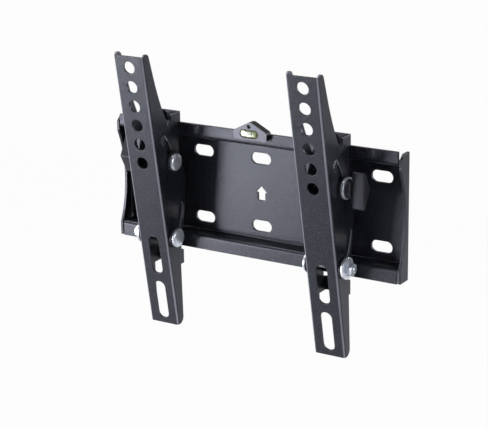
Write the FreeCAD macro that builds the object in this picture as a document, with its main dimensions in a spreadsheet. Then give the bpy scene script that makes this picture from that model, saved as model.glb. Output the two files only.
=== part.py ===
import FreeCAD, Part
import Sketcher
import math
import os

# Tilting wall mount for a small flat television.
# Frame: +X to the right, +Z up, the wall is the plane Y = 0 and the mount stands out towards -Y.
# Origin: the middle of the plate's grid of wall slots, on its back face.
doc = FreeCAD.newDocument("tv_wall_mount")
sheet = doc.addObject("Spreadsheet::Sheet", "sizes")
SIZES = [
    # folded steel sheet, heavier for the wall plate than for the arms and their brackets
    ("sheet", 2.0),
    ("bend_inside", 1.0),
    ("arm_sheet", 1.5),
    ("arm_bend_inside", 0.5),
    # wall plate
    ("plate_width", 242.4),
    ("rail_depth", 14.2),
    ("top_ledge", 40.4),
    ("bottom_ledge", 38.2),
    ("top_lip_end", 48.9),
    ("bottom_lip_end", 47.7),
    ("rail_end_gap", 1.0),
    ("flange_depth", 14.0),
    ("flange_top", 46.9),
    ("flange_bottom", 47.4),
    ("flange_chamfer", 4.0),
    ("flange_round", 1.8),
    ("relief_top", 35.0),
    ("relief_bottom", 33.0),
    ("relief_step", 0.7),
    ("waist_depth", 6.3),
    ("waist_radius", 90.0),
    ("waist_drop", 1.0),
    # wall slots, five in each of two rows
    ("slot_count", 5),
    ("slot_pitch", 50.0),
    ("slot_row_half", 26.0),
    ("slot_length", 17.0),
    ("slot_width", 8.8),
    # arrow cut-out
    ("arrow_tip", 5.2),
    ("arrow_shoulder", 0.3),
    ("arrow_foot", 6.2),
    ("arrow_half", 5.1),
    ("arrow_stem_half", 3.2),
    # bubble level on the top rail
    ("level_half", 13.9),
    ("level_ahead", 0.8),
    ("level_bottom", 43.9),
    ("level_side_top", 50.3),
    ("level_apex", 56.5),
    ("level_apex_round", 5.0),
    ("level_corner_round", 2.0),
    ("level_front", 18.3),
    ("level_clip_gap", 0.1),
    ("level_tab", 1.2),
    ("level_tab_half", 8.0),
    ("level_hole", 3.0),
    ("level_hole_up", 53.7),
    ("vial_length", 15.5),
    ("vial_height", 6.5),
    ("vial_up", 48.3),
    ("vial_depth", 3.2),
    ("vial_gap", 0.1),
    ("vial_proud", 0.4),
    # arms
    ("left_arm_x", -75.2),
    ("right_arm_x", 69.1),
    ("arm_width", 25.6),
    ("web_length", 218.0),
    ("web_rise", 100.1),
    ("tilt_centre_depth", 86.0),
    ("tilt_centre_ahead", 42.9),
    ("tilt_stop", 10.4),
    ("tilt_range", 20.0),
    ("left_lean", 9.5),
    ("right_lean", 10.4),
    ("ear_rise", 1.2),
    ("ear_start", 2.2),
    ("ear_depth", 7.4),
    ("ear_round", 4.0),
    ("flare_drop", 38.4),
    ("flare_depth", 12.9),
    ("flare_round", 220.0),
    ("peak_drop", 104.0),
    ("peak_depth", 34.2),
    ("peak_round", 30.0),
    ("hip_drop", 131.0),
    ("hip_depth", 27.2),
    ("hip_round", 60.0),
    ("shin_drop", 158.0),
    ("shin_depth", 15.4),
    ("shin_round", 20.0),
    ("toe_depth", 7.0),
    ("toe_round", 5.0),
    ("tv_hole_count", 6),
    ("tv_hole", 9.5),
    ("tv_hole_first", 8.6),
    ("tv_hole_pitch", 15.0),
    ("tv_slot_width", 9.5),
    ("tv_slot_length", 31.8),
    ("tv_slot_first", 143.4),
    ("tv_slot_bridge", 6.8),
    ("tilt_slot_width", 7.2),
    # hook brackets
    ("bracket_gap", 0.4),
    ("bracket_top", 56.4),
    ("bracket_bottom", 62.3),
    ("lip_gap", 0.5),
    ("hang_gap", 0.1),
    ("tongue_end", 41.5),
    ("foot_start", 50.5),
    ("foot_web_top", 52.0),
    ("head_depth", 23.4),
    ("neck_height", 52.0),
    ("shoulder_height", 34.5),
    ("cheek_depth", 34.5),
    ("chin_height", 26.0),
    ("foot_depth", 28.6),
    ("bracket_round", 3.0),
    # tilt bolts, washers and nuts
    ("bolt_depth", 26.1),
    ("upper_bolt_up", 21.5),
    ("lower_bolt_down", 37.6),
    ("bolt_diameter", 5.0),
    ("bolt_hole_gap", 0.1),
    ("thread_gap", 0.05),
    ("upper_head", 13.3),
    ("lower_head", 14.3),
    ("head_height", 3.3),
    ("head_rim", 0.8),
    ("washer_diameter", 16.2),
    ("guide_flange", 1.8),
    ("guide_gap", 0.1),
    ("collar_gap", 0.2),
    ("zinc_thick", 2.2),
    ("nut_flats", 8.0),
    ("nut_thick", 4.7),
    ("bolt_end_out", 9.9),
    # wing knobs
    ("hub_diameter", 13.8),
    ("hub_length", 3.3),
    ("wing_length", 26.8),
    ("wing_thick", 11.0),
    ("wing_waist", 12.0),
    ("wing_taper", 1.7),
    ("wing_flat", 4.3),
    ("wing_ridge", 5.7),
    ("wing_end", 2.6),
    ("wing_round", 1.0),
    ("ridge_round", 2.0),
    ("insert_flats", 8.0),
    ("insert_length", 4.0),
    ("knob_bore_end", 4.0),
    ("left_knob_turn", 180.0),
    ("right_knob_turn", 0.0),
]
for row, (name, value) in enumerate(SIZES, start=1):
    sheet.set("A%d" % row, name.replace("_", " "))
    sheet.set("B%d" % row, str(value))
    sheet.setAlias("B%d" % row, name)
doc.recompute()


class Size:
    """A size with its number and its formula in terms of the sheet's cells."""

    def __init__(self, number, formula):
        self.number = float(number)
        self.formula = formula

    def combine(self, other, sign, number):
        return Size(number, "(%s %s %s)" % (self.formula, sign, other.formula))

    def __add__(self, other):
        other = as_size(other)
        return self.combine(other, "+", self.number + other.number)

    def __sub__(self, other):
        other = as_size(other)
        return self.combine(other, "-", self.number - other.number)

    def __mul__(self, other):
        other = as_size(other)
        return self.combine(other, "*", self.number * other.number)

    def __truediv__(self, other):
        other = as_size(other)
        return self.combine(other, "/", self.number / other.number)

    def __neg__(self):
        return Size(-self.number, "(0 - %s)" % self.formula)

    __radd__ = __add__

    def __rsub__(self, other):
        return as_size(other) - self

    __rmul__ = __mul__


class Book:
    """The sheet's cells by name, each one as a Size."""

    def __getattr__(self, name):
        return Size(sheet.get(name), "sizes." + name)


def as_size(value):
    if isinstance(value, Size):
        return value
    return Size(value, repr(float(value)))


def cosine(angle):
    return Size(math.cos(math.radians(angle.number)), "cos(%s * 1 deg)" % angle.formula)


def sine(angle):
    return Size(math.sin(math.radians(angle.number)), "sin(%s * 1 deg)" % angle.formula)


def root(value):
    return Size(math.sqrt(value.number), "sqrt(%s)" % value.formula)


v = Book()


class Outline:
    """A sketch on one of a body's own planes, with its sizes bound to the sheet."""

    def __init__(self, body, plane, name, offset=None):
        self.sketch = body.newObject("Sketcher::SketchObject", name)
        for feature in body.Origin.OriginFeatures:
            if feature.Role == plane:
                self.sketch.AttachmentSupport = [(feature, "")]
        self.sketch.MapMode = "FlatFace"
        if offset is not None:
            self.sketch.setExpression("AttachmentOffset.Base.z", offset.formula)
        self.rules = []

    def shape(self, geometry, construction=False):
        return self.sketch.addGeometry(geometry, construction)

    def rule(self, kind, *arguments):
        self.rules.append((kind, arguments, None))

    def sized(self, kind, arguments, value):
        self.rules.append((kind, tuple(arguments) + (value.number,), value.formula))

    def fix(self, index, point, x, y):
        for kind, value, axis in (("DistanceX", x, -2), ("DistanceY", y, -1)):
            value = as_size(value)
            if value.formula == "0.0":
                self.rule("PointOnObject", index, point, axis)
            else:
                self.sized(kind, (-1, 1, index, point), value)

    def finish(self):
        plain = [Sketcher.Constraint(kind, *arguments) for kind, arguments, _ in self.rules]
        numbers = self.sketch.addConstraint(plain)
        for number, (_, _, formula) in zip(numbers, self.rules):
            if formula is not None:
                self.sketch.setExpression("Constraints[%d]" % number, formula)
        self.rules = []
        return self.sketch

    def corners(self, *points):
        """A closed line through the corners, each one (x, y) or (x, y, radius)."""
        spots = [FreeCAD.Vector(as_size(p[0]).number, as_size(p[1]).number, 0) for p in points]
        count = len(points)
        turns = []
        for i in range(count):
            before = (spots[i] - spots[i - 1]).normalize()
            after = (spots[(i + 1) % count] - spots[i]).normalize()
            if len(points[i]) == 3:
                radius = as_size(points[i][2]).number
                bend = before.getAngle(after)
                back = radius * math.tan(bend / 2)
                left = before.cross(after).z > 0
                turns.append((spots[i] - before * back, spots[i] + after * back, radius, left, before))
            else:
                turns.append((spots[i], spots[i], None, None, None))
        lines = []
        for i in range(count):
            start = turns[i][1]
            end = turns[(i + 1) % count][0]
            lines.append(self.shape(Part.LineSegment(start, end)))
        for i in range(count):
            entry, leave, radius, left, before = turns[i]
            previous = lines[i - 1]
            if radius is None:
                self.rule("Coincident", previous, 2, lines[i], 1)
                self.fix(lines[i], 1, points[i][0], points[i][1])
                continue
            side = FreeCAD.Vector(-before.y, before.x, 0)
            centre = entry + side * (radius if left else -radius)
            first, last = (entry, leave) if left else (leave, entry)
            start = math.atan2(first.y - centre.y, first.x - centre.x)
            end = math.atan2(last.y - centre.y, last.x - centre.x)
            circle = Part.Circle(centre, FreeCAD.Vector(0, 0, 1), radius)
            arc = self.shape(Part.ArcOfCircle(circle, start, end))
            corner = self.shape(Part.Point(spots[i]), True)
            self.rule("Tangent", previous, 2, arc, 1 if left else 2)
            self.rule("Tangent", arc, 2 if left else 1, lines[i], 1)
            self.rule("PointOnObject", corner, 1, previous)
            self.rule("PointOnObject", corner, 1, lines[i])
            self.sized("Radius", (arc,), as_size(points[i][2]))
            self.fix(corner, 1, points[i][0], points[i][1])
        return self

    def circle(self, x, y, radius):
        centre = FreeCAD.Vector(as_size(x).number, as_size(y).number, 0)
        ring = self.shape(Part.Circle(centre, FreeCAD.Vector(0, 0, 1), radius.number))
        self.sized("Radius", (ring,), radius)
        self.fix(ring, 3, x, y)
        return self

    def stadium(self, start, end, radius):
        """A slot with round ends about two centres."""
        first = FreeCAD.Vector(as_size(start[0]).number, as_size(start[1]).number, 0)
        second = FreeCAD.Vector(as_size(end[0]).number, as_size(end[1]).number, 0)
        along = math.atan2(second.y - first.y, second.x - first.x)
        side = FreeCAD.Vector(-math.sin(along), math.cos(along), 0) * radius.number
        up = FreeCAD.Vector(0, 0, 1)
        quarter = math.pi / 2
        ring = Part.Circle(first, up, radius.number)
        near = self.shape(Part.ArcOfCircle(ring, along + quarter, along + 3 * quarter))
        ring = Part.Circle(second, up, radius.number)
        far = self.shape(Part.ArcOfCircle(ring, along - quarter, along + quarter))
        low = self.shape(Part.LineSegment(first - side, second - side))
        high = self.shape(Part.LineSegment(second + side, first + side))
        self.rule("Tangent", near, 2, low, 1)
        self.rule("Tangent", low, 2, far, 1)
        self.rule("Tangent", far, 2, high, 1)
        self.rule("Tangent", high, 2, near, 1)
        self.rule("Equal", near, far)
        self.sized("Radius", (near,), radius)
        self.fix(near, 3, start[0], start[1])
        self.fix(far, 3, end[0], end[1])
        return self

    def arc_slot(self, radius, half, start, end):
        """A slot curved about the origin, between two heights of its middle line."""
        up = FreeCAD.Vector(0, 0, 1)
        centre = FreeCAD.Vector(0, 0, 0)
        low = math.asin(start.number / radius.number)
        high = math.asin(end.number / radius.number)
        spots = []
        for angle in (low, high):
            spots.append(FreeCAD.Vector(math.cos(angle), math.sin(angle), 0) * radius.number)
        wide = self.shape(Part.ArcOfCircle(Part.Circle(centre, up, (radius + half).number), low, high))
        tight = self.shape(Part.ArcOfCircle(Part.Circle(centre, up, (radius - half).number), low, high))
        ring = Part.Circle(spots[1], up, half.number)
        top = self.shape(Part.ArcOfCircle(ring, high, high + math.pi))
        ring = Part.Circle(spots[0], up, half.number)
        foot = self.shape(Part.ArcOfCircle(ring, low + math.pi, low + 2 * math.pi))
        self.rule("Tangent", wide, 2, top, 1)
        self.rule("Tangent", top, 2, tight, 2)
        self.rule("Tangent", tight, 1, foot, 1)
        self.rule("Tangent", foot, 2, wide, 1)
        self.rule("Coincident", wide, 3, -1, 1)
        self.rule("Coincident", tight, 3, -1, 1)
        self.sized("Radius", (wide,), radius + half)
        self.sized("Radius", (tight,), radius - half)
        self.sized("DistanceY", (-1, 1, foot, 3), start)
        self.sized("DistanceY", (-1, 1, top, 3), end)
        return self


def body_named(label):
    body = doc.addObject("PartDesign::Body", label)
    body.Label = label
    return body


def feature(body, kind, name, profile):
    made = body.newObject("PartDesign::" + kind, name)
    made.Profile = profile
    return made


def pad(body, name, profile, length, side="One side", reverse=False):
    made = feature(body, "Pad", name, profile)
    made.SideType = side
    made.Reversed = reverse
    made.setExpression("Length", length.formula)
    doc.recompute()
    return made


def pad_between(body, name, profile, ahead, behind):
    """A pad that runs from -behind to +ahead along the sketch's normal."""
    made = feature(body, "Pad", name, profile)
    made.SideType = "Two sides"
    made.setExpression("Length", ahead.formula)
    made.setExpression("Length2", behind.formula)
    doc.recompute()
    return made


def cut_less(body, made):
    """Every cut has to take material away."""
    doc.recompute()
    before = made.BaseFeature.Shape.Volume
    if made.Shape.Volume > before - 0.001:
        raise RuntimeError("%s in %s cuts nothing" % (made.Name, body.Label))
    return made


def cut_through(body, name, profile):
    made = feature(body, "Pocket", name, profile)
    made.Type = "ThroughAll"
    made.SideType = "Symmetric"
    return cut_less(body, made)


def cut_deep(body, name, profile, depth, reverse=False):
    made = feature(body, "Pocket", name, profile)
    made.Type = "Length"
    made.Reversed = reverse
    made.setExpression("Length", depth.formula)
    return cut_less(body, made)


def rounded(body, name, base, radius, test):
    """A fillet on each upright edge of the base whose ends pass the test."""
    names = []
    for number, edge in enumerate(base.Shape.Edges, start=1):
        ends = [vertex.Point for vertex in edge.Vertexes]
        if len(ends) != 2 or not isinstance(edge.Curve, Part.Line):
            continue
        upright = near(ends[0].x, ends[1].x) and near(ends[0].y, ends[1].y)
        if upright and all(test(point) for point in ends):
            names.append("Edge%d" % number)
    if not names:
        raise RuntimeError("no edge for %s in %s" % (name, body.Label))
    made = body.newObject("PartDesign::Fillet", name)
    made.Base = (base, names)
    made.setExpression("Radius", radius.formula)
    body.Tip = made
    doc.recompute()
    return made


def near(a, b):
    return abs(a - b) < 0.001


def put(body, x, y, z, axis=None, angle=None):
    """The body's place in the mount's frame, turned about one axis."""
    if axis is not None:
        body.Placement = FreeCAD.Placement(FreeCAD.Vector(), FreeCAD.Rotation(axis, angle.number))
        body.setExpression("Placement.Rotation.Angle", angle.formula)
    for letter, value in (("x", x), ("y", y), ("z", z)):
        body.setExpression("Placement.Base." + letter, as_size(value).formula)
    return body


bend = v.bend_inside + v.sheet
arm_bend = v.arm_bend_inside + v.arm_sheet
lip_back = v.rail_depth - v.sheet

# Wall plate: one sheet, folded forward and up along the top, forward and down along the bottom,
# with waisted side flanges that leave room for the tilting arms.
plate = body_named("wall_plate")
profile = Outline(plate, "YZ_Plane", "rail_profile")
profile.corners(
    (0, -v.bottom_ledge, bend),
    (0, v.top_ledge, bend),
    (-lip_back, v.top_ledge, v.bend_inside),
    (-lip_back, v.top_lip_end),
    (-v.rail_depth, v.top_lip_end),
    (-v.rail_depth, v.top_ledge - v.sheet, bend),
    (-v.sheet, v.top_ledge - v.sheet, v.bend_inside),
    (-v.sheet, v.sheet - v.bottom_ledge, v.bend_inside),
    (-v.rail_depth, v.sheet - v.bottom_ledge, bend),
    (-v.rail_depth, -v.bottom_lip_end),
    (-lip_back, -v.bottom_lip_end),
    (-lip_back, -v.bottom_ledge, v.bend_inside),
)
inside_width = v.plate_width - v.sheet * 2
pad(plate, "back_and_rails", profile.finish(), inside_width, "Symmetric")
flange = Outline(plate, "YZ_Plane", "flange_profile", inside_width / 2)
flange.corners(
    (0, -v.relief_bottom),
    (0, v.relief_top),
    (-v.relief_step, v.relief_top),
    (-v.relief_step, v.flange_top, v.flange_round),
    (v.flange_chamfer - v.flange_depth, v.flange_top),
    (-v.flange_depth, v.flange_top - v.flange_chamfer),
    (-v.flange_depth, -v.flange_bottom),
    (-v.relief_step - v.flange_chamfer / 2, -v.flange_bottom),
    (-v.relief_step, v.flange_chamfer / 2 - v.flange_bottom),
    (-v.relief_step, -v.relief_bottom),
)
side_flange = pad(plate, "side_flange", flange.finish(), v.sheet)
waist = Outline(plate, "YZ_Plane", "waist_circle", inside_width / 2)
waist.circle(-v.waist_depth - v.waist_radius, -v.waist_drop, v.waist_radius)
side_waist = cut_deep(plate, "side_waist", waist.finish(), v.sheet, True)
relief = Outline(plate, "XZ_Plane", "end_reliefs")
gap_start = inside_width / 2 - v.rail_end_gap
relief.corners(
    (gap_start, v.relief_top),
    (inside_width / 2, v.relief_top),
    (inside_width / 2, v.top_lip_end + v.sheet),
    (gap_start, v.top_lip_end + v.sheet),
)
relief.corners(
    (gap_start, -v.relief_bottom),
    (gap_start, -v.bottom_lip_end - v.sheet),
    (inside_width / 2, -v.bottom_lip_end - v.sheet),
    (inside_width / 2, -v.relief_bottom),
)
end_relief = cut_through(plate, "end_relief", relief.finish())
both = plate.newObject("PartDesign::Mirrored", "both_ends")
both.Originals = [side_flange, side_waist, end_relief]
for feature_of_origin in plate.Origin.OriginFeatures:
    if feature_of_origin.Role == "YZ_Plane":
        both.MirrorPlane = (feature_of_origin, [""])
plate.Tip = both
doc.recompute()
outer = (v.plate_width / 2).number
inner = (inside_width / 2).number
folded = rounded(
    plate, "outer_bends", both, bend, lambda p: near(abs(p.x), outer) and near(p.y, 0)
)
folded = rounded(
    plate,
    "inner_bends",
    folded,
    v.bend_inside,
    lambda p: near(abs(p.x), inner) and near(p.y, -v.sheet.number),
)
slot = Outline(plate, "XZ_Plane", "slot_column")
first_x = -(v.slot_count - 1) * v.slot_pitch / 2
slot_half = v.slot_length / 2 - v.slot_width / 2
for height in (v.slot_row_half, -v.slot_row_half):
    slot.stadium((first_x - slot_half, height), (first_x + slot_half, height), v.slot_width / 2)
wall_slots = cut_through(plate, "wall_slots", slot.finish())
row_of_slots = plate.newObject("PartDesign::LinearPattern", "row_of_slots")
row_of_slots.Originals = [wall_slots]
row_of_slots.Direction = (slot.sketch, ["H_Axis"])
row_of_slots.setExpression("Length", ((v.slot_count - 1) * v.slot_pitch).formula)
row_of_slots.setExpression("Occurrences", v.slot_count.formula)
plate.Tip = row_of_slots
doc.recompute()
arrow = Outline(plate, "XZ_Plane", "arrow_profile")
arrow.corners(
    (0, v.arrow_tip),
    (-v.arrow_half, -v.arrow_shoulder),
    (-v.arrow_stem_half, -v.arrow_shoulder),
    (-v.arrow_stem_half, -v.arrow_foot),
    (v.arrow_stem_half, -v.arrow_foot),
    (v.arrow_stem_half, -v.arrow_shoulder),
    (v.arrow_half, -v.arrow_shoulder),
)
cut_through(plate, "arrow_cut", arrow.finish())
put(plate, 0, 0, 0)

# Bubble level: a moulded housing that clips over the lip of the top rail, with its vial at the front.
housing = body_named("level_housing")
face = Outline(housing, "XZ_Plane", "level_face")
face.corners(
    (v.level_ahead - v.level_half, v.level_bottom, v.level_corner_round),
    (v.level_ahead + v.level_half, v.level_bottom, v.level_corner_round),
    (v.level_ahead + v.level_half, v.level_side_top, v.level_corner_round),
    (v.level_ahead, v.level_apex + v.level_corner_round / 2, v.level_apex_round),
    (v.level_ahead - v.level_half, v.level_side_top, v.level_corner_round),
)
moulding = pad_between(housing, "moulding", face.finish(), v.level_front, v.level_clip_gap - lip_back)
tab = Outline(housing, "XZ_Plane", "tab_face")
tab.corners(
    (-v.level_tab_half, v.level_bottom),
    (v.level_tab_half, v.level_bottom),
    (v.level_tab_half, v.level_side_top),
    (-v.level_tab_half, v.level_side_top),
)
pad_between(
    housing,
    "rear_tab",
    tab.finish(),
    v.rail_depth,
    v.level_clip_gap + v.level_tab - lip_back,
)
clip = Outline(housing, "YZ_Plane", "clip_profile")
clip.corners(
    (v.level_clip_gap - lip_back, v.level_bottom - v.sheet),
    (v.level_clip_gap - lip_back, v.top_lip_end + v.level_clip_gap),
    (-v.rail_depth - v.level_clip_gap, v.top_lip_end + v.level_clip_gap),
    (-v.rail_depth - v.level_clip_gap, v.level_bottom - v.sheet),
)
cut_through(housing, "clip_slot", clip.finish())
seat = Outline(housing, "XZ_Plane", "vial_seat", v.level_front)
vial_half = v.vial_length / 2 - v.vial_height / 2
seat.stadium((-vial_half, v.vial_up), (vial_half, v.vial_up), v.vial_height / 2)
cut_deep(housing, "vial_pocket", seat.finish(), v.vial_depth)
eye = Outline(housing, "XZ_Plane", "eye")
eye.circle(0, v.level_hole_up, v.level_hole / 2)
cut_through(housing, "eye_hole", eye.finish())
put(housing, 0, 0, 0)

vial = body_named("level_vial")
tube = Outline(vial, "XZ_Plane", "vial_profile", v.level_front - v.vial_depth + v.vial_gap)
tube.stadium((-vial_half, v.vial_up), (vial_half, v.vial_up), v.vial_height / 2 - v.vial_gap)
pad(vial, "vial_tube", tube.finish(), v.vial_depth - v.vial_gap + v.vial_proud)
put(vial, 0, 0, 0)

# The arms turn about a line that lies ahead of the plate. No pin stands there: two bolts in each
# bracket run in two slots of the arm, and both slots are curved about that line.
reach = v.tilt_centre_depth - v.bolt_depth
upper_radius = root(reach * reach + v.upper_bolt_up * v.upper_bolt_up)
lower_radius = root(reach * reach + v.lower_bolt_down * v.lower_bolt_down)
web_front = v.tilt_centre_ahead


def bolt_height(rise, turn):
    """Height of a bolt in the arm's own frame when the arm leans by the angle."""
    return rise * cosine(turn) - reach * sine(turn)


def build_arm(label, x, lean):
    """A folded channel, open to the wall, in the frame of its tilt line."""
    body = body_named(label)

    def spot(depth, drop, *radius):
        return (web_front + depth, v.web_rise - drop) + radius

    side = Outline(body, "YZ_Plane", "flange_outline")
    side.corners(
        spot(0, 0),
        spot(0, v.web_length),
        spot(v.toe_depth, v.web_length, v.toe_round),
        spot(v.shin_depth, v.shin_drop, v.shin_round),
        spot(v.hip_depth, v.hip_drop, v.hip_round),
        spot(v.peak_depth, v.peak_drop, v.peak_round),
        spot(v.flare_depth, v.flare_drop, v.flare_round),
        spot(v.ear_depth, -v.ear_rise, v.ear_round),
        spot(v.ear_start, -v.ear_rise, v.ear_rise * 0.8),
        spot(v.ear_start, 0),
    )
    block = pad(body, "channel_block", side.finish(), v.arm_width, "Symmetric")
    hollow = Outline(body, "XY_Plane", "channel_hollow")
    half = v.arm_width / 2 - v.arm_sheet
    hollow.corners(
        (-half, web_front + v.arm_sheet, v.arm_bend_inside),
        (half, web_front + v.arm_sheet, v.arm_bend_inside),
        (half, web_front + v.peak_depth + v.arm_sheet),
        (-half, web_front + v.peak_depth + v.arm_sheet),
    )
    channel = cut_through(body, "channel", hollow.finish())
    edge_x = (v.arm_width / 2).number
    rounded(
        body,
        "channel_bends",
        channel,
        arm_bend,
        lambda p: near(abs(p.x), edge_x) and near(p.y, web_front.number),
    )
    holes = Outline(body, "XZ_Plane", "tv_hole_profile")
    for step in range(int(v.tv_hole_count.number)):
        holes.circle(0, v.web_rise - v.tv_hole_first - v.tv_hole_pitch * step, v.tv_hole / 2)
    cut_through(body, "tv_holes", holes.finish())
    slots = Outline(body, "XZ_Plane", "tv_slot_profile")
    slot_radius = v.tv_slot_width / 2
    for step in (0, 1):
        start = v.web_rise - v.tv_slot_first - step * (v.tv_slot_length + v.tv_slot_bridge)
        slots.stadium(
            (0, start - v.tv_slot_length + slot_radius), (0, start - slot_radius), slot_radius
        )
    cut_through(body, "tv_slots", slots.finish())
    arcs = Outline(body, "YZ_Plane", "tilt_slot_profile")
    for radius, rise in ((upper_radius, v.upper_bolt_up), (lower_radius, -v.lower_bolt_down)):
        low = bolt_height(rise, v.tilt_stop)
        high = bolt_height(rise, v.tilt_stop - v.tilt_range)
        arcs.arc_slot(radius, v.tilt_slot_width / 2, low, high)
    cut_through(body, "tilt_slots", arcs.finish())
    return put(body, x, -v.tilt_centre_depth, 0, FreeCAD.Vector(1, 0, 0), lean)


def build_bracket(label, x):
    """A folded channel that hooks over the top lip and stands in front of the bottom lip."""
    body = body_named(label)
    wide = v.arm_width - v.arm_sheet * 2 - v.bracket_gap * 2
    web_face = lip_back - v.lip_gap
    web_back = web_face - v.arm_sheet
    lip_front = v.rail_depth + v.lip_gap
    side = Outline(body, "YZ_Plane", "cheek_outline")
    side.corners(
        (-web_back, v.bracket_top),
        (-v.head_depth, v.bracket_top, v.bracket_round / 2),
        (-v.head_depth, v.neck_height, v.bracket_round),
        (-v.cheek_depth, v.shoulder_height, v.bracket_round),
        (-v.cheek_depth, -v.chin_height, v.bracket_round),
        (-v.foot_depth, -v.bracket_bottom, v.bracket_round),
        (-web_back, -v.bracket_bottom),
        (-web_back, -v.foot_web_top),
        (-web_face, -v.foot_web_top),
        (-lip_front, -v.foot_start),
        (-lip_front, v.top_lip_end + v.hang_gap, v.lip_gap),
        (-web_face, v.top_lip_end + v.hang_gap, v.lip_gap),
        (-web_face, v.tongue_end),
        (-web_back, v.tongue_end),
    )
    pad(body, "bracket_block", side.finish(), wide, "Symmetric")
    hollow = Outline(body, "XY_Plane", "bracket_hollow")
    half = wide / 2 - v.arm_sheet
    hollow.corners(
        (-half, -v.cheek_depth - v.arm_sheet),
        (half, -v.cheek_depth - v.arm_sheet),
        (half, -web_face, v.arm_bend_inside),
        (-half, -web_face, v.arm_bend_inside),
    )
    channel = cut_through(body, "bracket_channel", hollow.finish())
    edge_x = (wide / 2).number
    rounded(
        body,
        "bracket_bends",
        channel,
        arm_bend,
        lambda p: near(abs(p.x), edge_x) and near(p.y, -web_back.number),
    )
    bores = Outline(body, "YZ_Plane", "bolt_holes")
    bore = v.bolt_diameter / 2 + v.bolt_hole_gap
    bores.circle(-v.bolt_depth, v.upper_bolt_up, bore)
    bores.circle(-v.bolt_depth, -v.lower_bolt_down, bore)
    cut_through(body, "bolt_bores", bores.finish())
    return put(body, x, 0, 0)


# Each bolt passes from the middle of the mount outwards. The fasteners are made along +Z with the
# arm's middle at Z = 0, and are turned to lie along X.
arm_face = v.arm_width / 2
guide_face = arm_face + v.guide_gap
guide_back = guide_face + v.guide_flange
zinc_back = guide_back + v.zinc_thick
ACROSS = FreeCAD.Vector(0, 1, 0)


def lay(body, x, rise, outwards):
    """The fastener's axis at a bolt, pointing to the left (-1) or to the right (1)."""
    angle = as_size(90.0 * outwards)
    return put(body, x, -v.bolt_depth, rise, ACROSS, angle)


def revolve(body, name, profile):
    made = feature(body, "Revolution", name, profile)
    made.ReferenceAxis = (profile, ["V_Axis"])
    made.Angle = 360
    doc.recompute()
    return made


def build_bolt(label, x, rise, outwards, wide, end):
    """A low domed head on a plain shank."""
    body = body_named(label)
    shank = v.bolt_diameter / 2
    head = Outline(body, "XZ_Plane", "bolt_section")
    cap = guide_back + v.head_height
    head.corners(
        (0, -cap),
        (wide / 4, -cap + v.head_height / 8),
        (wide / 2, -guide_back - v.head_rim),
        (wide / 2, -guide_back),
        (shank, -guide_back),
        (shank, end - v.head_rim),
        (shank - v.head_rim / 2, end),
        (0, end),
    )
    revolve(body, "bolt_turned", head.finish())
    return lay(body, x, rise, outwards)


def build_guide(label, x, rise, outwards, side):
    """A plastic washer whose collar runs in the arm's curved slot."""
    body = body_named(label)
    bore = v.bolt_diameter / 2 + v.bolt_hole_gap
    collar = v.tilt_slot_width / 2 - v.collar_gap
    section = Outline(body, "XZ_Plane", "guide_section")
    section.corners(
        (bore, arm_face - v.arm_sheet),
        (collar, arm_face - v.arm_sheet),
        (collar, guide_face),
        (v.washer_diameter / 2, guide_face),
        (v.washer_diameter / 2, guide_back),
        (bore, guide_back),
    )
    revolve(body, "guide_turned", section.finish())
    return lay(body, x, rise, outwards * side)


def build_ring(label, x, rise, outwards):
    """A large flat washer."""
    body = body_named(label)
    ring = Outline(body, "XY_Plane", "washer_face", guide_back)
    ring.circle(0, 0, v.washer_diameter / 2)
    ring.circle(0, 0, v.bolt_diameter / 2 + v.bolt_hole_gap)
    pad(body, "washer_disc", ring.finish(), v.zinc_thick)
    return lay(body, x, rise, outwards)


def hexagon(outline, flats):
    """Six corners about the origin, from the size across the flats."""
    corner = flats / 2 / cosine(as_size(30.0))
    points = []
    for step in range(6):
        angle = as_size(60.0 * step)
        if step in (0, 3):
            points.append((corner * (1 if step == 0 else -1), 0))
        else:
            points.append((corner * cosine(angle), corner * sine(angle)))
    return outline.corners(*points)


def build_nut(label, x, rise, outwards):
    body = body_named(label)
    face = Outline(body, "XY_Plane", "nut_face", zinc_back)
    hexagon(face, v.nut_flats)
    face.circle(0, 0, v.bolt_diameter / 2 + v.thread_gap)
    pad(body, "nut_block", face.finish(), v.nut_thick)
    bevel = Outline(body, "XZ_Plane", "nut_bevel")
    corner = v.nut_flats / 2 / cosine(as_size(30.0))
    edge = v.nut_flats / 2
    fall = (corner - edge) * 0.6
    bevel.corners(
        (edge, zinc_back + v.nut_thick),
        (corner + v.head_rim, zinc_back + v.nut_thick),
        (corner + v.head_rim, zinc_back + v.nut_thick - fall - v.head_rim * 0.6),
    )
    turned = feature(body, "Groove", "nut_chamfer", bevel.finish())
    turned.ReferenceAxis = (bevel.sketch, ["V_Axis"])
    turned.Angle = 360
    cut_less(body, turned)
    return lay(body, x, rise, outwards)


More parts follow.
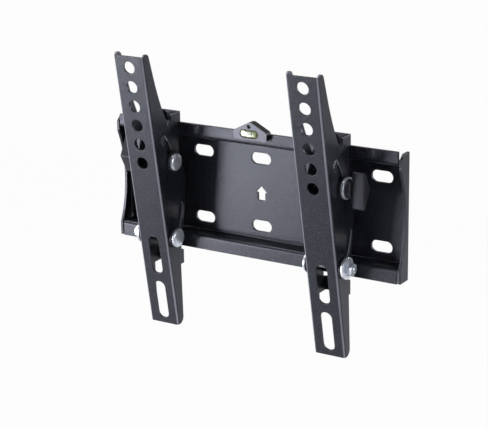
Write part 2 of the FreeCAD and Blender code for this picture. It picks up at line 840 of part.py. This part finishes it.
def build_knob(label, x, rise, outwards, turn):
    """A moulded wing knob: a round hub and a wing that is flat on one side and ridged on the other."""
    body = body_named(label)
    base = zinc_back + v.guide_gap
    hub = Outline(body, "XY_Plane", "hub_face", base)
    hub.circle(0, 0, v.hub_diameter / 2)
    pad(body, "hub", hub.finish(), v.hub_length)
    wing = Outline(body, "XY_Plane", "wing_face", base + v.hub_length)
    reach_out = v.wing_length / 2
    wing.corners(
        (-reach_out, -v.wing_flat, v.wing_round),
        (reach_out, -v.wing_flat, v.wing_round),
        (reach_out, v.wing_end - v.wing_flat, v.wing_round),
        (0, v.wing_ridge + v.ridge_round / 8, v.ridge_round),
        (-reach_out, v.wing_end - v.wing_flat, v.wing_round),
    )
    pad(body, "wing", wing.finish(), v.wing_thick)
    under = Outline(body, "XZ_Plane", "wing_underside")
    for way in (-1, 1):
        corners = [
            (v.wing_waist / 2 * way, base + v.hub_length),
            (reach_out * way, base + v.hub_length),
            (reach_out * way, base + v.hub_length + v.wing_taper),
        ]
        under.corners(*(corners if way > 0 else corners[::-1]))
    cut_through(body, "wing_tapers", under.finish())
    socket = Outline(body, "XY_Plane", "insert_socket", base)
    hexagon(socket, v.insert_flats)
    cut_deep(body, "socket", socket.finish(), v.insert_length, True)
    blind = Outline(body, "XY_Plane", "bolt_clearance", base)
    blind.circle(0, 0, v.bolt_diameter / 2 + v.bolt_hole_gap)
    cut_deep(body, "bolt_room", blind.finish(), v.insert_length + v.knob_bore_end, True)
    lay(body, x, rise, outwards)
    return turned_about_bolt(body, outwards, turn)


def turned_about_bolt(body, outwards, turn):
    """Turn a knob or its insert about the bolt, on top of lying along it."""
    lying = FreeCAD.Rotation(ACROSS, 90.0 * outwards)
    rolled = FreeCAD.Rotation(FreeCAD.Vector(1, 0, 0), turn.number)
    body.setExpression("Placement.Rotation.Angle", None)
    place = body.Placement
    place.Rotation = rolled.multiply(lying)
    body.Placement = place
    return body


def build_insert(label, x, rise, outwards, turn):
    """The threaded piece that is moulded in the knob."""
    body = body_named(label)
    face = Outline(body, "XY_Plane", "insert_face", zinc_back + v.guide_gap)
    hexagon(face, v.insert_flats)
    face.circle(0, 0, v.bolt_diameter / 2 + v.thread_gap)
    pad(body, "insert_block", face.finish(), v.insert_length)
    lay(body, x, rise, outwards)
    return turned_about_bolt(body, outwards, turn)


pieces = [plate, housing, vial]
for side, x, outwards, lean, turn in (
    ("left", v.left_arm_x, -1, v.left_lean, v.left_knob_turn),
    ("right", v.right_arm_x, 1, v.right_lean, v.right_knob_turn),
):
    upper = v.upper_bolt_up
    lower = -v.lower_bolt_down
    knob_bottom = zinc_back + v.guide_gap + v.insert_length + v.knob_bore_end
    pieces.append(build_arm(side + "_arm", x, lean))
    pieces.append(build_bracket(side + "_hook_bracket", x))
    upper_end = knob_bottom - v.thread_gap * 10
    lower_end = arm_face + v.bolt_end_out
    pieces.append(build_bolt(side + "_upper_bolt", x, upper, outwards, v.upper_head, upper_end))
    pieces.append(build_bolt(side + "_lower_bolt", x, lower, outwards, v.lower_head, lower_end))
    for place, rise in (("upper", upper), ("lower", lower)):
        stem = side + "_" + place
        pieces.append(build_guide(stem + "_inner_guide", x, rise, outwards, -1))
        pieces.append(build_guide(stem + "_outer_guide", x, rise, outwards, 1))
        pieces.append(build_ring(stem + "_washer", x, rise, outwards))
    pieces.append(build_nut(side + "_nut", x, lower, outwards))
    pieces.append(build_knob(side + "_knob", x, upper, outwards, turn))
    pieces.append(build_insert(side + "_knob_insert", x, upper, outwards, turn))

doc.recompute()
for item in doc.Objects:
    if "Invalid" in item.State or "Error" in item.State:
        raise RuntimeError("%s failed: %s" % (item.Name, item.State))
for body in pieces:
    if body.Shape.isNull() or not body.Shape.isValid() or len(body.Shape.Solids) != 1:
        raise RuntimeError("%s has no single valid solid" % body.Label)
os.makedirs("parts", exist_ok=True)
for body in pieces:
    body.Shape.exportStep("parts/%s.step" % body.Label)
    print(body.Label, round(body.Shape.Volume, 1))
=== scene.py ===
import math

import bmesh
import bpy
import mathutils
import numpy as np
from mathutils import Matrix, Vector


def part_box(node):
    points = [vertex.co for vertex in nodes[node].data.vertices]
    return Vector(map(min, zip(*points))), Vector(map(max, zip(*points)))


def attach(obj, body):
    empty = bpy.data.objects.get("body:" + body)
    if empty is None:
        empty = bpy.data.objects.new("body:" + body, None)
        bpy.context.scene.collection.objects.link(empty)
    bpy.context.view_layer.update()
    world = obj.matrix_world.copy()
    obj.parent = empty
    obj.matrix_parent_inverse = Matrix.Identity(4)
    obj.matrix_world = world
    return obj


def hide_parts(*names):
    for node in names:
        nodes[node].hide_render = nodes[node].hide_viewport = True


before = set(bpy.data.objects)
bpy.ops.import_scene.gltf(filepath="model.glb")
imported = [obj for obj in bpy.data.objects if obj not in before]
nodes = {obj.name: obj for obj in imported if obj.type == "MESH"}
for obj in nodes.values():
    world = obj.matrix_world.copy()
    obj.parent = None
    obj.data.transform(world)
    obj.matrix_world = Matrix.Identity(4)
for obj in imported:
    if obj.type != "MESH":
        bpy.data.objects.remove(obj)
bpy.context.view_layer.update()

# Wall plate. One sheet of 2 mm steel, punched with slots for the wall screws and folded into two
# rails and two side flanges. A black powder is baked on it and melts into a skin with a fine grain
# that is a little smoother over the punched edges, where a lighter colour is a painted highlight.


class Link:
    """One output of a shader node. Sums and products of it add their own Math nodes."""

    def __init__(self, graph, socket):
        self.graph = graph
        self.socket = socket

    def maths(self, operation, *others):
        inputs = dict(enumerate((self,) + others))
        return self.graph.node("ShaderNodeMath", {"operation": operation}, inputs)

    def __add__(self, other):
        return self.maths("ADD", other)

    __radd__ = __add__

    def __sub__(self, other):
        return self.maths("SUBTRACT", other)

    def __rsub__(self, other):
        return (self * -1.0) + other

    def __mul__(self, other):
        return self.maths("MULTIPLY", other)

    __rmul__ = __mul__

    def __abs__(self):
        return self.maths("ABSOLUTE")

    def rising(self, low, high):
        """0 below low and 1 above high, with a smooth step between."""
        settings = {"interpolation_type": "SMOOTHSTEP"}
        inputs = {"Value": self, "From Min": low, "From Max": high, "To Min": 0.0, "To Max": 1.0}
        return self.graph.node("ShaderNodeMapRange", settings, inputs)

    def falling(self, low, high):
        return 1.0 - self.rising(low, high)


class Graph:
    """A tree of shader nodes. Any node comes from one method, and its inputs from another."""

    def __init__(self, tree):
        self.tree = tree

    def node(self, kind, settings, inputs, out=0):
        made = self.tree.nodes.new(kind)
        for key, value in settings.items():
            setattr(made, key, value)
        for key, value in inputs.items():
            self.feed(made.inputs[key], value)
        return Link(self, made.outputs[out])

    def feed(self, target, value):
        """Joins a link to an input, or writes a plain value there."""
        if isinstance(value, Link):
            self.tree.links.new(value.socket, target)
        else:
            target.default_value = value

    def place(self, centre=(0.0, 0.0, 0.0)):
        """The point on the piece, in metres from a centre."""
        point = self.node("ShaderNodeTexCoord", {}, {}, "Object")
        return self.node("ShaderNodeVectorMath", {"operation": "SUBTRACT"}, {0: point, 1: centre})

    def axes(self, point):
        """The three numbers of a point."""
        outputs = self.node("ShaderNodeSeparateXYZ", {}, {0: point}).socket.node.outputs
        return [Link(self, outputs[axis]) for axis in range(3)]

    def noise(self, point, scale, detail=2.0, roughness=0.5):
        inputs = {"Vector": point, "Scale": scale, "Detail": detail, "Roughness": roughness}
        return self.node("ShaderNodeTexNoise", {}, inputs)

    def blend(self, factor, first, second):
        """One colour fading to another as the factor goes from 0 to 1.

        A Mix node has sockets for every kind of value: 6 and 7 take its colours, and 2 gives one.
        """
        settings = {"data_type": "RGBA"}
        return self.node("ShaderNodeMix", settings, {0: factor, 6: first, 7: second}, 2)


class Paint(Graph):
    """A finish: one principled shader, and the nodes that vary it over the surface."""

    def __init__(self, name, **plain):
        self.material = bpy.data.materials.new(name)
        self.material.use_nodes = True
        super().__init__(self.material.node_tree)
        self.shader = self.tree.nodes["Principled BSDF"]
        for key, value in plain.items():
            self.set(key.replace("_", " "), value)

    def set(self, name, value):
        self.feed(self.shader.inputs[name], value)

    def edges(self, radius):
        """Near 1 within a radius of a sharp edge and 0 on the flat, and the rounded normal."""
        soft = self.node("ShaderNodeBevel", {"samples": 6}, {"Radius": radius})
        flat = self.node("ShaderNodeNewGeometry", {}, {}, "True Normal")
        settings = {"operation": "DOT_PRODUCT"}
        alike = self.node("ShaderNodeVectorMath", settings, {0: soft, 1: flat}, "Value")
        return alike.falling(0.8, 0.985), soft

    def relief(self, height, distance, normal=None):
        """A height from 0 to 1, of so many metres, that tips a normal or the surface's own."""
        inputs = {"Height": height, "Distance": distance}
        if normal is not None:
            inputs["Normal"] = normal
        self.set("Normal", self.node("ShaderNodeBump", {}, inputs))


def screen(red, green, blue):
    """A colour as it looks on a screen, 0 to 255, made linear by the curve of sRGB."""
    tones = np.array([red, green, blue]) / 255.0
    linear = np.where(tones <= 0.04045, tones / 12.92, ((tones + 0.055) / 1.055) ** 2.4)
    return tuple(linear) + (1.0,)


def powder_coat(name, seed, fold=None):
    """Black powder coat with an orange peel, a fine grain, and a painted highlight on the cut
    edges.

    A fold is the middle and the half width of a channel, in metres. A highlight is painted along
    its two outer bends, in a band that lies 0.1 to 1.8 mm inside the half width.
    """
    paint = Paint(name, IOR=1.5, Specular_Tint=(0.8, 0.83, 1.0, 1.0))
    point = paint.place((seed, 0.0, 0.0))
    grain = paint.noise(point, 950.0, 3.0, 0.7)
    peel = paint.noise(point, 420.0, 1.0)
    cloud = paint.noise(point, 26.0, 2.0)
    rim, soft = paint.edges(0.0007)
    colour = paint.blend(cloud.rising(0.3, 0.7), screen(12, 13, 17), screen(18, 19, 25))
    colour = paint.blend(grain.rising(0.48, 0.66) * 0.7, colour, screen(58, 60, 72))
    if fold is not None:
        centre, reach = fold
        out = abs(paint.axes(paint.place((centre, 0.0, 0.0)))[0])
        # A light band along the outer bends is a painted highlight.
        bend = out.rising(reach - 0.0018, reach - 0.001)
        painted_bend_highlight = bend * out.falling(reach - 0.0006, reach - 0.0001)
        colour = paint.blend(painted_bend_highlight * (0.35 + cloud * 0.6), colour, screen(166, 168, 182))
    # Near sharp edges the colour is paler: a painted highlight.
    paint.set("Base Color", paint.blend(rim * 0.45, colour, screen(132, 134, 146)))
    paint.set("Roughness", 0.26 + cloud * 0.06 + grain * 0.10 - rim * 0.08)
    paint.relief(grain * 0.8 + peel * 0.2, 0.00014, soft)
    return paint.material


def dress(name, material):
    """A CAD node takes a finish in every material slot."""
    slots = nodes[name].data.materials
    if not slots:
        slots.append(material)
    for row in range(len(slots)):
        slots[row] = material


dress("wall_plate", powder_coat("plate_powder_coat", 0.0))

# Bubble level. A moulded housing that clips over the lip of the top rail: black, with a pale lilac
# front. The vial is a clear capsule of yellow-green liquid with a bubble between two dark marks.

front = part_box("level_housing")[0][1]
level = Paint("level_plastic", IOR=1.46)
spot = level.place()
speck = level.noise(spot, 2200.0, 2.0)
rim, soft = level.edges(0.0005)
pale = level.axes(spot)[1].falling(front + 0.0003, front + 0.0005)
tone = level.blend(speck, screen(110, 112, 128), screen(126, 128, 145))
# Near the housing's sharp edges the colour is paler: a painted highlight.
tone = level.blend(rim * 0.6, tone, screen(196, 198, 212))
level.set("Base Color", level.blend(pale, screen(22, 22, 25), tone))
level.set("Roughness", 0.38 + speck * 0.12)
level.relief(speck, 0.00003, soft)
dress("level_housing", level.material)


def shell(name, body, points, material, loop=False, stands_for=(), bend=35.0):
    """A closed mesh from a grid of points, rows by columns, sharp where it bends by more degrees.

    Each row is a ring. The first and last rows are joined in a loop, or are rings drawn to a point.
    """
    rows, columns = points.shape[:2]
    starts = np.arange(rows if loop else rows - 1)
    row, column = np.meshgrid(starts, np.arange(columns), indexing="ij")
    after, beside = (row + 1) % rows, (column + 1) % columns
    corners = ((row, column), (row, beside), (after, beside), (after, column))
    faces = np.stack([ring * columns + step for ring, step in corners], axis=-1).reshape(-1, 4)
    mesh = bpy.data.meshes.new(name)
    mesh.from_pydata(points.reshape(-1, 3).tolist(), [], faces.tolist())
    work = bmesh.new()
    work.from_mesh(mesh)
    bmesh.ops.remove_doubles(work, verts=work.verts, dist=1e-7)
    bmesh.ops.dissolve_degenerate(work, edges=work.edges, dist=1e-8)
    bmesh.ops.recalc_face_normals(work, faces=work.faces)
    work.to_mesh(mesh)
    work.free()
    mesh.shade_smooth()
    mesh.set_sharp_from_angle(angle=math.radians(bend))
    mesh.materials.append(material)
    made = bpy.data.objects.new(name, mesh)
    bpy.context.scene.collection.objects.link(made)
    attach(made, body)
    for node in stands_for:
        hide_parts(node)


def slab(corners, radius, rim, low, high, steps=96, lift=None):
    """A convex slab with rounded corners and rims, as a grid of points (u, v, w).

    Its outline is each corner plus the radius along the outward normal. Within a rim of the two
    faces the radius shrinks along a quarter circle, and each face closes in rings that shrink to
    the middle. A lift of (u, v) is added to w, in full at the low face and not at the high one.
    """
    off_axis = 1e-3
    angle = np.linspace(0, 2 * np.pi, steps, endpoint=False) + off_axis
    out = np.stack([np.cos(angle), np.sin(angle)], axis=-1)
    corners = np.array(corners, dtype=float)
    held = corners[np.argmax(out @ corners.T, axis=1)]
    closing = (0.0, 0.35, 0.7)
    turn = np.linspace(0, np.pi / 2, 6)
    rings = [(share, radius - rim, low) for share in closing]
    for a in turn:
        rings.append((1.0, radius - rim + rim * math.sin(a), low + rim - rim * math.cos(a)))
    for a in turn:
        rings.append((1.0, radius - rim + rim * math.cos(a), high - rim + rim * math.sin(a)))
    rings += [(share, radius - rim, high) for share in closing[::-1]]
    share, reach, height = np.array(rings).T
    middle = corners.mean(axis=0)
    flat = middle + share[:, None, None] * (held - middle + reach[:, None, None] * out)
    tall = np.repeat(height[:, None], steps, axis=1)
    if lift is not None:
        tall = tall + lift(flat) * ((high - tall) / (high - low))
    return np.concatenate([flat, tall[..., None]], axis=-1)


def ball(halves, rows=24, columns=40):
    """A squashed ball: the half sizes times the cosine of the fall from one end to the other along
    X, and its sine times the cosine and the sine of the turn about X."""
    fall = np.linspace(0, np.pi, rows)[:, None]
    turn = np.linspace(0, 2 * np.pi, columns, endpoint=False)[None, :]
    along = halves[0] * np.cos(fall) + 0 * turn
    across = halves[1] * np.sin(fall) * np.cos(turn)
    upwards = halves[2] * np.sin(fall) * np.sin(turn)
    return np.stack([along, across, upwards], axis=-1)


lowest, highest = np.array(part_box("level_vial"))
half = (highest - lowest) / 2
middle = (highest + lowest) / 2
liquid = Paint("vial_liquid", IOR=1.49, Roughness=0.08, Coat_Weight=0.6, Coat_Roughness=0.03)
along, _, up = liquid.axes(liquid.place(tuple(middle)))
# Darker green towards the capsule's edges and ends is painted shade of the curved clear vial.
wall = (abs(up) * (1.0 / half[2])).rising(0.35, 0.9)
caps = abs(along).rising(half[0] - 0.003, half[0])
marks = abs(abs(along) - 0.0026).falling(0.00025, 0.0005)
tone = liquid.blend(wall.maths("MAXIMUM", caps), screen(150, 164, 124), screen(60, 76, 42))
liquid.set("Base Color", liquid.blend(marks * 0.85, tone, screen(36, 44, 32)))
straight = half[0] - half[2]
pill = slab([(-straight, 0), (straight, 0)], half[2], 0.0012, -half[1], half[1])
capsule = np.stack([pill[..., 0], pill[..., 2], pill[..., 1]], axis=-1) + middle
shell("vial_capsule", "wall", capsule, liquid.material,
      stands_for=["level_vial"], bend=60.0)

air = Paint("vial_bubble", IOR=1.33, Roughness=0.05)
_, _, up = air.axes(air.place(tuple(middle)))
# The bubble is lighter towards its top: a painted highlight.
painted_bubble_highlight = air.blend(up.rising(-0.0008, 0.0012), screen(168, 188, 156), screen(220, 230, 222))
air.set("Base Color", painted_bubble_highlight)
centre = [middle[0] + 0.0004, lowest[1], middle[2] + 0.0005]
bubble = ball((0.0021, 0.0006, 0.0011)) + centre
shell("vial_bubble", "wall", bubble, air.material, bend=180.0)

# Hook brackets. Two folded steel hooks that hang on the top rail and catch under the bottom one,
# each a channel that stands inside its arm, with the same powder coat as the plate.

hook_coat = powder_coat("hook_powder_coat", 0.3)
for side in ("left", "right"):
    dress(side + "_hook_bracket", hook_coat)

# Tilt arms. Deep channels of 1.5 mm steel, open to the wall, with a row of holes and slots for the
# screws of the television in the web and two curved slots in each flange, coated as the plate is.

for side, seed in (("left", 0.7), ("right", 1.1)):
    low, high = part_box(side + "_arm")
    fold = ((low[0] + high[0]) / 2, (high[0] - low[0]) / 2)
    dress(side + "_arm", powder_coat(side + "_arm_powder_coat", seed, fold))

# Guide washers. Black nylon rings with a collar that runs in an arm's curved slot, turned on the
# bolts' lines. They stay between the coated arm and the zinc, so that nothing scrapes.

MM = 0.001
arms = {"left": (-75.2, -1), "right": (69.1, 1)}
bolt_heights = {"upper": 21.5, "lower": -37.6}
bolt_depth = -26.1


def black_nylon(name, tone, painted_edge_highlight=0.0):
    """Black nylon from a sparked mould: matt, with a fine even grain, and edges painted paler by a
    given share as a painted highlight.
    """
    paint = Paint(name, IOR=1.5, Specular_Tint=(0.82, 0.85, 1.0, 1.0))
    point = paint.place()
    grain = paint.noise(point, 3000.0, 2.0, 0.6)
    patch = paint.noise(point, 160.0, 2.0)
    rim, soft = paint.edges(0.0008)
    dark, light = screen(tone, tone, tone + 5), screen(tone + 10, tone + 11, tone + 18)
    colour = paint.blend(patch, dark, light)
    paint.set("Base Color", paint.blend(rim * painted_edge_highlight, colour, screen(150, 153, 164)))
    paint.set("Roughness", 0.36 + grain * 0.12 + patch * 0.06)
    paint.relief(grain, 0.00003, soft)
    return paint.material


def eased(profile, ease):
    """A closed profile whose corners are cut by a short curve, three points for each corner.

    The outer two lie on the sides, ease away from the corner, or at 0.45 of a side that is short.
    The one between is half the corner and a quarter of each of the two.
    """
    points = np.array(profile, dtype=float)
    before = np.roll(points, 1, axis=0) - points
    after = np.roll(points, -1, axis=0) - points
    first, last = [
        points + np.minimum(ease / np.linalg.norm(way, axis=1), 0.45)[:, None] * way
        for way in (before, after)
    ]
    return np.stack([first, points * 0.5 + (first + last) * 0.25, last], axis=1).reshape(-1, 2)


def turned(profile, steps=72):
    """A ring whose profile (x along the bolt, radius) goes once round the bolt."""
    angle = np.linspace(0, 2 * np.pi, steps, endpoint=False)
    along, radius = np.array(profile).T[:, :, None]
    return np.stack([along + 0 * angle, radius * np.cos(angle), radius * np.sin(angle)], axis=-1)


def on_bolt(points, side, place, way=1):
    """Points about a bolt's line, in mm, set out along it away from the arm's middle."""
    x, outwards = arms[side]
    signs = np.array([outwards * way, 1.0, 1.0])
    return (points * signs + [x, bolt_depth, bolt_heights[place]]) * MM


bore, collar, brim = 2.6, 3.4, 8.1
collar_end, flange_face, guide_face = 11.3, 12.9, 14.7
guide = turned(eased([
    (collar_end, bore), (collar_end, collar), (flange_face, collar),
    (flange_face, brim), (guide_face, brim), (guide_face, bore),
], 0.3))
guide_nylon = black_nylon("guide_nylon", 20)
for side in arms:
    for place in bolt_heights:
        for end, way in (("inner", -1), ("outer", 1)):
            name = "%s_%s_%s_guide" % (side, place, end)
            made = on_bolt(guide, side, place, way)
            shell(name + "_ring", side + "_hook", made, guide_nylon, True, [name])

# Washers, bolts and nuts. Turned and stamped steel with a bright bluish zinc plating. The bolts are
# threaded to their ends, and a nut locks each lower one.


def bright_zinc(place):
    """Zinc plate over turned steel: fine rings about the bolt, a cloudy bluish bloom, and a painted
    highlight on sharp edges.
    """
    paint = Paint(place + "_zinc", Metallic=0.75)
    line = (0.0, bolt_depth * MM, bolt_heights[place] * MM)
    _, y, z = paint.axes(paint.place(line))
    radius = (y * y + z * z).maths("SQRT")
    rings = (radius * 9000.0).maths("SINE") * 0.5 + 0.5
    bloom = paint.noise(paint.place(), 240.0, 3.0, 0.6)
    colour = paint.blend(bloom.rising(0.3, 0.7), screen(212, 219, 234), screen(232, 236, 244))
    rim, soft = paint.edges(0.0004)
    # Sharp edges are paler: a painted highlight.
    paint.set("Base Color", paint.blend(rim, colour, screen(240, 242, 246)))
    paint.set("Roughness", 0.24 + bloom * 0.14 + rings * 0.04)
    paint.relief(rings * 0.7 + bloom * 0.3, 0.000004, soft)
    return paint.material


washer_face = 16.9
washer = turned(eased([
    (guide_face, bore), (guide_face, brim), (washer_face, brim), (washer_face, bore),
], 0.35))
shank, pitch = 2.5, 0.8
head_widths = {"upper": 13.3, "lower": 14.3}
tips = {"upper": 24.5, "lower": 22.7}


def threaded(start, stop, cut, steps=36):
    """A screw thread: the radius dips by cut as a wave of x less the turn, once in each pitch."""
    along = np.arange(start, stop, pitch / 6)[:, None]
    angle = np.linspace(0, 2 * np.pi, steps, endpoint=False)[None, :]
    wave = np.abs(((along / pitch - angle / (2 * np.pi)) % 1.0) * 2 - 1)
    fade = np.clip((along - start) / pitch, 0, 1) * np.clip((stop - along) / pitch, 0, 1)
    reach = shank - cut * (1 - wave) * fade
    return np.stack([along + 0 * angle, reach * np.cos(angle), reach * np.sin(angle)], axis=-1)


def headed(wide):
    """A bolt's head, as a profile: a dome over a straight rim and a flat seat.

    Along the dome the radius grows as a sine of the share of the way, and x as a power of it.
    """
    crown, rise, rim = -18.0, 2.2, -15.5
    share = np.linspace(0, 1, 14)
    dome = np.stack([crown + rise * share**2.6, wide * np.sin(share * np.pi / 2)], axis=-1)
    seat = [(rim, wide), (-14.9, wide), (-guide_face, wide - 0.2), (-guide_face, shank)]
    return np.concatenate([dome, seat])


zincs = {place: bright_zinc(place) for place in bolt_heights}
for side in arms:
    body = side + "_hook"
    for place, zinc in zincs.items():
        stem = "%s_%s" % (side, place)
        disc = on_bolt(washer, side, place)
        shell(stem + "_washer_disc", body, disc, zinc, True, [stem + "_washer"])
        tip = tips[place]
        head = turned(headed(head_widths[place] / 2), 36)
        thread = threaded(-6.0, tip - 0.5, 0.35)
        end = turned([(tip - 0.4, 2.3), (tip, 1.9), (tip, 0.0)], 36)
        bolt = on_bolt(np.concatenate([head, thread, end]), side, place)
        shell(stem + "_bolt_screw", body, bolt, zinc, False, [stem + "_bolt"])


def hexagonal(low, high, flats, bore, steps=144):
    """A nut: a hexagon's radius at each angle, held under a cone at both faces, with a round bore.

    The rows run out of the bore at the low face, up the outside, and back down the bore.
    """
    angle = np.linspace(0, 2 * np.pi, steps, endpoint=False)
    sixth = (angle + np.pi / 6) % (np.pi / 3) - np.pi / 6
    flat = flats / 2 / np.cos(sixth)
    inwards = np.array([0.0, 0.0, 0.25, 0.6])
    along = np.concatenate([low + inwards, high - inwards[::-1], [high - 0.5, low + 0.5]])
    cone = flats / 2 - 0.1 + np.minimum(along - low, high - along) * 1.3
    reach = np.minimum(flat[None, :], cone[:, None])
    reach[[0, 7]] = bore + 0.4
    reach[8:] = bore
    ring = [along[:, None] + 0 * angle, reach * np.cos(angle), reach * np.sin(angle)]
    return np.stack(ring, axis=-1)


nut = hexagonal(washer_face, 21.6, 8.0, 2.55)
for side in arms:
    placed = on_bolt(nut, side, "lower")
    shell(side + "_nut_hex", side + "_hook", placed, zincs["lower"], True, [side + "_nut"],
          24.0)

# Wing knobs. Moulded black nylon on a brass insert: a round hub under a wing with a flat side and a
# ridged one. The left and the right knob are the same piece, locked with opposite sides ahead.

brass = Paint("insert_brass", Metallic=1.0)
grain = brass.noise(brass.place(), 900.0, 3.0)
brass.set("Base Color", brass.blend(grain, screen(176, 146, 84), screen(206, 178, 110)))
brass.set("Roughness", 0.28 + grain * 0.14)
brass.relief(grain, 0.00002)


def swept(flat):
    """The wing's low face rises evenly by 1.7 mm over the outer 7.4 mm of each half."""
    return 1.7 * np.clip((np.abs(flat[..., 0]) - 6) / 7.4, 0, 1)


span, foot, shoulder, ridge = 12.2, -3.1, -2.3, 4.35
outline = [(-span, foot), (span, foot), (span, shoulder), (0.0, ridge), (-span, shoulder)]
wing = slab(outline, 1.2, 0.9, 20.3, 31.3, 192, swept)
hub = turned(eased([(17.0, 4.7), (17.0, 6.9), (20.6, 6.9), (21.4, 6.2), (21.4, 4.7)], 0.5))
# The knob's edges get a painted highlight.
knob_nylon = black_nylon("knob_nylon", 27, 0.6)
for side, turn in (("left", -1), ("right", 1)):
    dress(side + "_knob_insert", brass.material)
    knob = side + "_knob"
    ahead = np.stack([wing[..., 2], wing[..., 1] * turn, wing[..., 0]], axis=-1)
    placed = on_bolt(ahead, side, "upper")
    shell(knob + "_wing", knob, placed, knob_nylon, False, [knob], 50.0)
    placed = on_bolt(hub, side, "upper")
    shell(knob + "_hub", knob, placed, knob_nylon, True, [])

# Studio. A pale floor and backdrop, three soft lamps ahead on the left, one above, one behind and
# one on the right, and the camera a little above the mount and to its right.

white = (1.0, 1.0, 1.0, 1.0)
to_eye, to_metal = 0.97, 0.1


def seen(paint, eye, metal):
    """How much of the white background a ray is shown: by the eye, or in metal and glass."""
    camera, glossy, through = [
        paint.node("ShaderNodeLightPath", {}, {}, "Is %s Ray" % kind)
        for kind in ("Camera", "Glossy", "Transmission")
    ]
    return camera * eye + glossy.maths("MAXIMUM", through) * metal


floor = Paint("floor_paint", Roughness=0.9)
grit = floor.noise(floor.place(), 60.0, 3.0)
floor.set("Base Color", floor.blend(grit, screen(208, 208, 208), screen(214, 214, 214)))
glow = floor.node("ShaderNodeEmission", {}, {"Color": white, "Strength": 1.0})
lit = Link(floor, floor.shader.outputs[0])
far = floor.axes(floor.place())[1].rising(0.0, 0.6)
shown = seen(floor, to_eye, to_metal + far * 0.7)
mixed = floor.node("ShaderNodeMixShader", {}, {0: shown, 1: lit, 2: glow})
floor.feed(floor.tree.nodes["Material Output"].inputs["Surface"], mixed)
wide, behind, down = 3.0, 1.8, -0.6
rim = [(-wide, -wide, down), (wide, -wide, down), (wide, behind, down), (-wide, behind, down)]
ground = bpy.data.meshes.new("floor")
ground.from_pydata(rim, [], [(0, 1, 2, 3)])
ground.materials.append(floor.material)
ground = bpy.data.objects.new("floor", ground)
bpy.context.scene.collection.objects.link(ground)

world = bpy.data.worlds.new("studio")
bpy.context.scene.world = world
world.use_nodes = True
sky = Graph(world.node_tree)
backdrop = sky.tree.nodes["Background"]
sky.feed(backdrop.inputs["Color"], white)
rearwards = sky.axes(sky.node("ShaderNodeTexCoord", {}, {}, "Generated"))[1].rising(-0.2, 0.5)
room = 0.15 + rearwards * 0.17
shown = seen(sky, to_eye, to_metal)
sky.feed(backdrop.inputs["Strength"], room + (1.0 - room) * shown)


def aimed(name, data, place, aim=(0.0, 0.0, 0.0)):
    """An object at a place, whose -Z looks at the aim."""
    made = bpy.data.objects.new(name, data)
    way = mathutils.Vector(aim) - mathutils.Vector(place)
    turn = way.to_track_quat("-Z", "Y")
    made.matrix_world = mathutils.Matrix.Translation(place) @ turn.to_matrix().to_4x4()
    bpy.context.scene.collection.objects.link(made)
    return made


for name, place, size, watts in (
    ("key_lamp", (-0.9, -0.95, 0.12), (0.34, 0.3), 9.5),
    ("left_lamp", (-1.05, -0.95, -0.42), (0.3, 0.24), 1.5),
    ("front_lamp", (-0.7, -0.95, -0.24), (0.2, 0.2), 4.4),
    ("top_lamp", (-0.6, -0.1, 1.0), (0.4, 0.4), 6.5),
    ("rear_lamp", (0.8, 0.9, 0.3), (0.4, 0.4), 6.5),
    ("side_lamp", (1.1, -0.5, 0.35), (0.5, 0.5), 5.5),
):
    lamp = bpy.data.lights.new(name, "AREA")
    lamp.shape = "RECTANGLE"
    lamp.size, lamp.size_y = size
    lamp.energy = watts
    aimed(name, lamp, place)

azimuth, elevation, roll = np.radians([32.16, 17.18, -0.96])
away = mathutils.Vector((
    -math.sin(azimuth) * math.cos(elevation),
    math.cos(azimuth) * math.cos(elevation),
    -math.sin(elevation),
))
stand = mathutils.Vector((0.61059, -0.99788, 0.34483))
focal_pixels, picture_pixels = 1646.88, 488.0
lens = bpy.data.cameras.new("camera")
lens.sensor_fit = "HORIZONTAL"
lens.sensor_width = 36.0
lens.lens = 36.0 * focal_pixels / picture_pixels
camera = aimed("camera", lens, stand, stand + away)
camera.matrix_world = camera.matrix_world @ mathutils.Matrix.Rotation(roll, 4, "Z")
bpy.context.scene.camera = camera
bpy.context.scene.view_settings.view_transform = "Standard"
